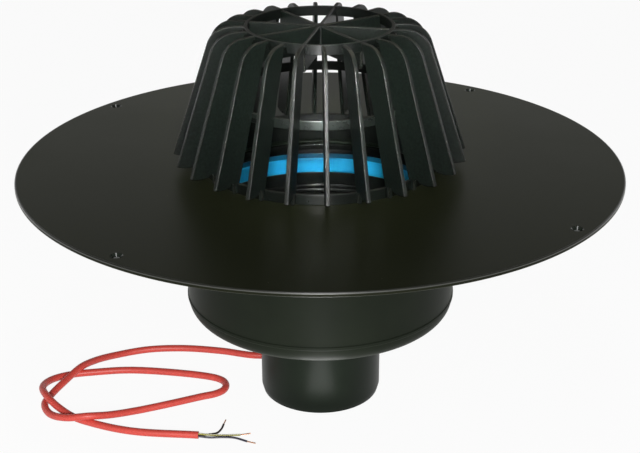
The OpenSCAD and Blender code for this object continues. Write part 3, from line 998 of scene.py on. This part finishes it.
class ROOFDRAIN_OT_shell(bpy.types.Operator):
    """Turns the outer shell with its rounded lower edge and its bead."""

    bl_idname = "roof_drain.shell"
    bl_label = "Outer shell"

    def execute(self, context):
        sizes, colours = settings(context)
        bead_z, bead_r = SHELL_Z + SHELL_EDGE_R, SHELL_R + SHELL_BEAD
        edge_centre = (SHELL_R - SHELL_EDGE_R, bead_z)
        outline = [(SHELL_R - SHELL_WALL, SEAT_Z), (SHELL_R, SEAT_Z), (SHELL_R, SHELL_RING_Z),
                   (SHELL_R, bead_z + SHELL_BEAD_H + SHELL_BEAD),
                   (bead_r, bead_z + SHELL_BEAD_H), (bead_r, bead_z + SHELL_BEAD)]
        outline += arc(edge_centre, SHELL_EDGE_R, 0, -90)
        outline += [(COLLAR_R + SHELL_GAP, SHELL_Z), (COLLAR_R + SHELL_GAP, SHELL_FLOOR_Z)]
        outline += arc(edge_centre, SHELL_EDGE_R - SHELL_WALL, -90, 0)
        shell = turn("bowl_shell", softened(outline, sizes.wall_rounding / MM), sizes.turns)
        settle(shell, shell_moulding(colours), "outer_shell")
        return {"FINISHED"}


class ROOFDRAIN_OT_cup(bpy.types.Operator):
    """Turns the inner cup with its sloping floor and the upright outlet."""

    bl_idname = "roof_drain.cup"
    bl_label = "Cup and outlet"

    def execute(self, context):
        sizes, colours = settings(context)
        slope = math.radians(FLOOR_SLOPE)
        mouth_z = floor_top(BORE_R + MOUTH_R * (1 - math.sin(slope))) - MOUTH_R * math.cos(slope)
        corner_z = floor_top(LOW_R - CORNER_R) + CORNER_R / math.cos(slope)
        outline = [(CUP_IN_R, SEAT_Z), (CUP_R, SEAT_Z), (CUP_R, floor_top(CUP_R) - FLOOR_T),
                   (COLLAR_R, floor_top(COLLAR_R) - FLOOR_T), (COLLAR_R, SHELL_Z), (OUTLET_R, SHELL_Z),
                   (OUTLET_R, OUTLET_BEVEL_H), (OUTLET_R - OUTLET_BEVEL_W, 0), (BORE_R, 0)]
        outline += arc((BORE_R + MOUTH_R, mouth_z), MOUTH_R, 180, 90 + FLOOR_SLOPE)
        outline += arc((LOW_R - CORNER_R, corner_z), CORNER_R, FLOOR_SLOPE - 90, 0)
        outline += [(LOW_R - inset, BAND_Z - depth) for inset, depth in BAND_STEPS]
        outline += [(LOW_R, LEDGE_Z), (CUP_IN_R, LEDGE_Z), (CUP_IN_R, SNAP_Z),
                    (CUP_IN_R - SNAP_W, SNAP_Z + SNAP_H / 3),
                    (CUP_IN_R - SNAP_W, SNAP_Z + SNAP_H * 2 / 3), (CUP_IN_R, SNAP_Z + SNAP_H)]
        cup = turn("cup_and_outlet", softened(outline, sizes.wall_rounding / MM), sizes.turns)
        settle(cup, cup_moulding(colours), "drain_cup")
        cup.data.materials.append(glossy_wall())
        glossy = 1
        for face in cup.data.polygons:
            inside = face.center.xy.length < (LOW_R + 0.2) * MM
            if inside and face.center.z > (BAND_Z - GLOSS_DEPTH) * MM:
                face.material_index = glossy
        return {"FINISHED"}


class ROOFDRAIN_OT_seal(bpy.types.Operator):
    """Turns the lip seal and the ring that holds it down."""

    bl_idname = "roof_drain.seal"
    bl_label = "Seal and ring"

    def execute(self, context):
        sizes, colours = settings(context)
        outer = CUP_IN_R - SEAL_GAP
        low, high = seal_low.z / MM, seal_high.z / MM
        lip, band, lip_z = outer - SEAL_LIP_T, outer - SEAL_BAND_T, high - SEAL_LIP_H
        seal = turn("lip_seal", softened([
            (outer, low), (outer, high), (lip, high), (lip - 0.4, lip_z), (band + 0.5, lip_z - 0.6),
            (band, lip_z - 3), (band, low + 1), (band + 0.8, low)], SOFT_EDGE), sizes.turns)
        settle(seal, seal_rubber(colours, lip_z * MM), "seal_ring")
        low, high = ring_low.z / MM, ring_high.z / MM
        inner = outer - RING_T
        chamfer = RING_T - SEAL_LIP_T + 0.5
        ring = turn("clamp_ring", softened([
            (outer, low), (outer, high), (inner + 0.6, high), (inner, high - 0.6),
            (inner, low + chamfer * 3), (inner + chamfer, low)], CRISP_EDGE), sizes.turns)
        settle(ring, ring_moulding(), "retaining_ring")
        return {"FINISHED"}


def make_ring(name, outline, steps, finishes):
    """A ring of the basket, its outline given above the plate. The third finish is for walls
    that face outwards, the fourth, darker as painted shade, for walls that face inwards."""
    ring = turn(name, softened([(r, FLANGE_TOP + z) for r, z in outline], SOFT_EDGE), steps)
    coat(ring.data, *finishes)
    outside, inside = 2, 3
    for face in ring.data.polygons:
        # Walls that face inwards take the darker finish: painted shade.
        if face.normal.xy.dot(face.center.xy) < 0 and abs(face.normal.z) < 0.75:
            face.material_index = inside
        elif abs(face.normal.z) < 0.3:
            face.material_index = outside
    return ring


def square(inner, outer, low, high):
    """A four-cornered outline between two radii and two heights."""
    return [(inner, low), (outer, low), (outer, high), (inner, high)]


def soften_edges(piece, rounding, finishes):
    """Rounds a piece's sharp edges and gives the rounding the finish of a worn edge, paler partly as a
    painted highlight.
    """
    coat(piece.data, *finishes)
    edges = piece.modifiers.new("Edges", "BEVEL")
    edges.width, edges.segments, edges.limit_method = rounding, 3, "ANGLE"
    edges.angle_limit = math.radians(32)
    # The rounding's paler finish is partly wear and partly a painted highlight.
    edges.material = 1
    bpy.ops.object.modifier_apply(modifier=edges.name)
    return finish_mesh(piece)


def rib_outline():
    """A rib's outline above the plate, from its foot round to its crown."""
    top, leg_r = BASKET_H - RIB_DROP, FOOT_R + LEG_W
    bar_z, crown_in = top - CROWN_BAR, CROWN_R - HOOP_T / 2
    lean = math.radians(RIB_LEAN)
    shoulder_z = top - SHOULDER_R
    shoulder_r = rib_outer(shoulder_z + SHOULDER_R * math.sin(lean)) - SHOULDER_R * math.cos(lean)
    notch_r, notch_z = leg_r + NOTCH_R, RIB_LIFT - 1
    belly_from = notch_r + NOTCH_R
    outline = [(FOOT_R - HOOP_T / 2, FOOT_H / 2), (FOOT_R - HOOP_T / 2, FOOT_LIFT), (leg_r, FOOT_LIFT)]
    outline += arc((notch_r, notch_z), NOTCH_R, 180, 0)
    for i in range(1, 8):
        outline.append((
            belly_from + (RIB_FOOT_R - belly_from) * i / 8,
            notch_z + (RIB_LIFT - notch_z) * i / 8 - RIB_BELLY * math.sin(math.pi * i / 8)))
    outline += [(RIB_FOOT_R, RIB_LIFT)]
    outline += arc((shoulder_r, shoulder_z), SHOULDER_R, RIB_LEAN, 90, 14)
    return outline + [(crown_in, top), (crown_in, bar_z), (rib_inner(bar_z), bar_z)]


def make_rib(rounding, finishes):
    """One rib, in the plane of the X and Z axes, with rounded edges."""
    points = [Vector((r, -RIB_T / 2, z + FLANGE_TOP)) * MM for r, z in rib_outline()]
    rib = draw_line("rib", points + points[:1])
    weld()
    bpy.ops.mesh.edge_face_add()
    bpy.ops.mesh.extrude_region_move(TRANSFORM_OT_translate={"value": (0, RIB_T * MM, 0)})
    close_up()
    return soften_edges(rib, rounding, finishes)


def make_web(rounding, finishes):
    """One web of the crown, along the X axis, with rounded edges."""
    from_r, to_r = HUB_R - 1, CROWN_R - HOOP_T / 3
    middle = ((from_r + to_r) / 2, 0, FLANGE_TOP + BASKET_H - WEB_DROP - WEB_H / 2)
    clear_selection()
    bpy.ops.mesh.primitive_cube_add(size=1, location=Vector(middle) * MM)
    web = bpy.context.object
    web.scale = Vector((to_r - from_r, WEB_T, WEB_H)) * MM
    bpy.ops.object.transform_apply(location=True, rotation=True, scale=True)
    return soften_edges(web, rounding, finishes)


def make_rings(steps, finishes, middle_highlight):
    """The basket's foot, its middle and crown rings, and the hub in the crown."""
    foot = [(SKIRT_R - HOOP_T, -SKIRT_DEPTH), (SKIRT_R, -SKIRT_DEPTH), (SKIRT_R, FOOT_LIFT),
            (FOOT_R, FOOT_LIFT), (FOOT_R, FOOT_H), (FOOT_R - HOOP_T, FOOT_H),
            (SKIRT_R - HOOP_T, HOOP_T)]
    middle_r = rib_inner(MIDDLE_Z + MIDDLE_H / 2) + HOOP_T / 6
    middle = square(middle_r - HOOP_T, middle_r, MIDDLE_Z, MIDDLE_Z + MIDDLE_H)
    crown = square(CROWN_R - HOOP_T, CROWN_R, BASKET_H - CROWN_H, BASKET_H)
    web_z = BASKET_H - WEB_DROP - WEB_H
    hub = square(AXIS_R, HUB_R, web_z - HUB_PAST, web_z + WEB_H + HUB_PAST)
    # The middle ring's outside takes the finish with the painted highlight.
    return [
        make_ring("foot", foot, steps, finishes), make_ring("middle", middle, steps, middle_highlight),
        make_ring("crown", crown, steps, finishes), make_ring("hub", hub, steps, finishes)]


class ROOFDRAIN_OT_basket(bpy.types.Operator):
    """Shapes the leaf basket: its rings, its ribs with notched feet, and the webs across its crown."""

    bl_idname = "roof_drain.basket"
    bl_label = "Leaf basket"

    def execute(self, context):
        sizes, colours = settings(context)
        rib_finishes = basket_faces(colours), edge_wear_and_highlight()
        # The inside finish is darker as painted shade.
        outside, inside = basket_hoop(colours), basket_inside_painted_shade(colours)
        # The middle ring's outside is a paler copy of the hoop finish, a painted highlight.
        parts = make_rings(
            sizes.turns, rib_finishes + (outside, inside),
            rib_finishes + (hoop_with_painted_highlight(colours), inside))
        rib = make_rib(sizes.rib_rounding, rib_finishes)
        web = make_web(sizes.rib_rounding, rib_finishes)
        for i in range(RIB_COUNT):
            angle = math.radians(RIB_ANGLE - 90 + 360 * i / RIB_COUNT)
            for shape in [rib] + ([web] if i % WEB_EVERY == WEB_FIRST else []):
                copy = shape.copy()
                copy.data = shape.data.copy()
                context.scene.collection.objects.link(copy)
                copy.rotation_euler.z = angle
                parts.append(copy)
        bpy.data.objects.remove(rib)
        bpy.data.objects.remove(web)
        basket = join("basket_moulding", parts)
        basket.data.materials.append(dulled_top())
        dulled = len(basket.data.materials) - 1
        for face in basket.data.polygons:
            if face.normal.z > 0.8:
                face.material_index = dulled
        stand_for(basket, "leaf_basket")
        return {"FINISHED"}


def grommet_outline():
    """A barbed taper, and a flange on each side of the shell's floor."""
    hole_r, mouth_z, under_z = LEAD_R + LEAD_GAP, SHELL_Z - GROMMET_L, SHELL_Z - GROMMET_FLANGE_T
    top_z = SHELL_FLOOR_Z + GROMMET_FLANGE_T
    outline = [(hole_r, mouth_z), (GROMMET_TIP_R, mouth_z)]
    for i in range(BARB_COUNT):
        z = mouth_z + BARB_RISE + BARB_PITCH * i
        taper = (z - mouth_z) / (GROMMET_L - GROMMET_FLANGE_T)
        r = GROMMET_TIP_R + (GROMMET_NECK_R - GROMMET_TIP_R) * taper
        outline += [(r, z), (r - 0.6, z + 0.5), (r - 0.6, z + 1.2), (r + 0.1, z + 1.7)]
    return outline + [
        (GROMMET_NECK_R, under_z), (GROMMET_FLANGE_R, under_z), (GROMMET_FLANGE_R, SHELL_Z),
        (GROMMET_NECK_R, SHELL_Z), (GROMMET_NECK_R, SHELL_FLOOR_Z),
        (GROMMET_FLANGE_R, SHELL_FLOOR_Z), (GROMMET_FLANGE_R, top_z), (hole_r, top_z)]


class ROOFDRAIN_OT_heater(bpy.types.Operator):
    """Turns the grommet, and gives the sealed heater and insulation their finishes."""

    bl_idname = "roof_drain.heater"
    bl_label = "Grommet, heater and insulation"

    def execute(self, context):
        outline = softened(grommet_outline(), CRISP_EDGE, 2)
        grommet = turn("grommet_rubber", outline, GROMMET_TURNS, (GROMMET_X, GROMMET_Y))
        settle(grommet, grommet_rubber(), "lead_grommet")
        coat(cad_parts["heating_mat"].data, orange_silicone())
        coat(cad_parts["insulation_ring"].data, pale_foam())
        return {"FINISHED"}


STEPS = (ROOFDRAIN_OT_stage, ROOFDRAIN_OT_lead, ROOFDRAIN_OT_plate, ROOFDRAIN_OT_shell,
         ROOFDRAIN_OT_cup, ROOFDRAIN_OT_seal, ROOFDRAIN_OT_basket, ROOFDRAIN_OT_heater)


class ROOFDRAIN_PT_pieces(bpy.types.Panel):
    """Lists the drain's pieces and its settings."""

    bl_label = "Roof drain"
    bl_idname = "ROOFDRAIN_PT_pieces"
    bl_space_type = "VIEW_3D"
    bl_region_type = "UI"
    bl_category = "Roof drain"

    def draw(self, context):
        for step in STEPS:
            self.layout.operator(step.bl_idname)
        for group in settings(context):
            for name in group.__annotations__:
                self.layout.prop(group, name)


CLASSES = (RoofDrainSizes, RoofDrainColours) + STEPS + (ROOFDRAIN_PT_pieces,)


def register():
    """Adds the settings, the operators and the panel to Blender."""
    for c in CLASSES:
        bpy.utils.register_class(c)
    bpy.types.Scene.roof_drain_sizes = PointerProperty(type=RoofDrainSizes)
    bpy.types.Scene.roof_drain_colours = PointerProperty(type=RoofDrainColours)


def unregister():
    """Takes out what register adds."""
    del bpy.types.Scene.roof_drain_colours
    del bpy.types.Scene.roof_drain_sizes
    for c in reversed(CLASSES):
        bpy.utils.unregister_class(c)


def main():
    """Makes the stage and the pieces."""
    register()
    bpy.ops.roof_drain.stage()
    bpy.ops.roof_drain.lead()
    bpy.ops.roof_drain.plate()
    bpy.ops.roof_drain.shell()
    bpy.ops.roof_drain.cup()
    bpy.ops.roof_drain.seal()
    bpy.ops.roof_drain.basket()
    bpy.ops.roof_drain.heater()


if __name__ == "__main__":
    main()
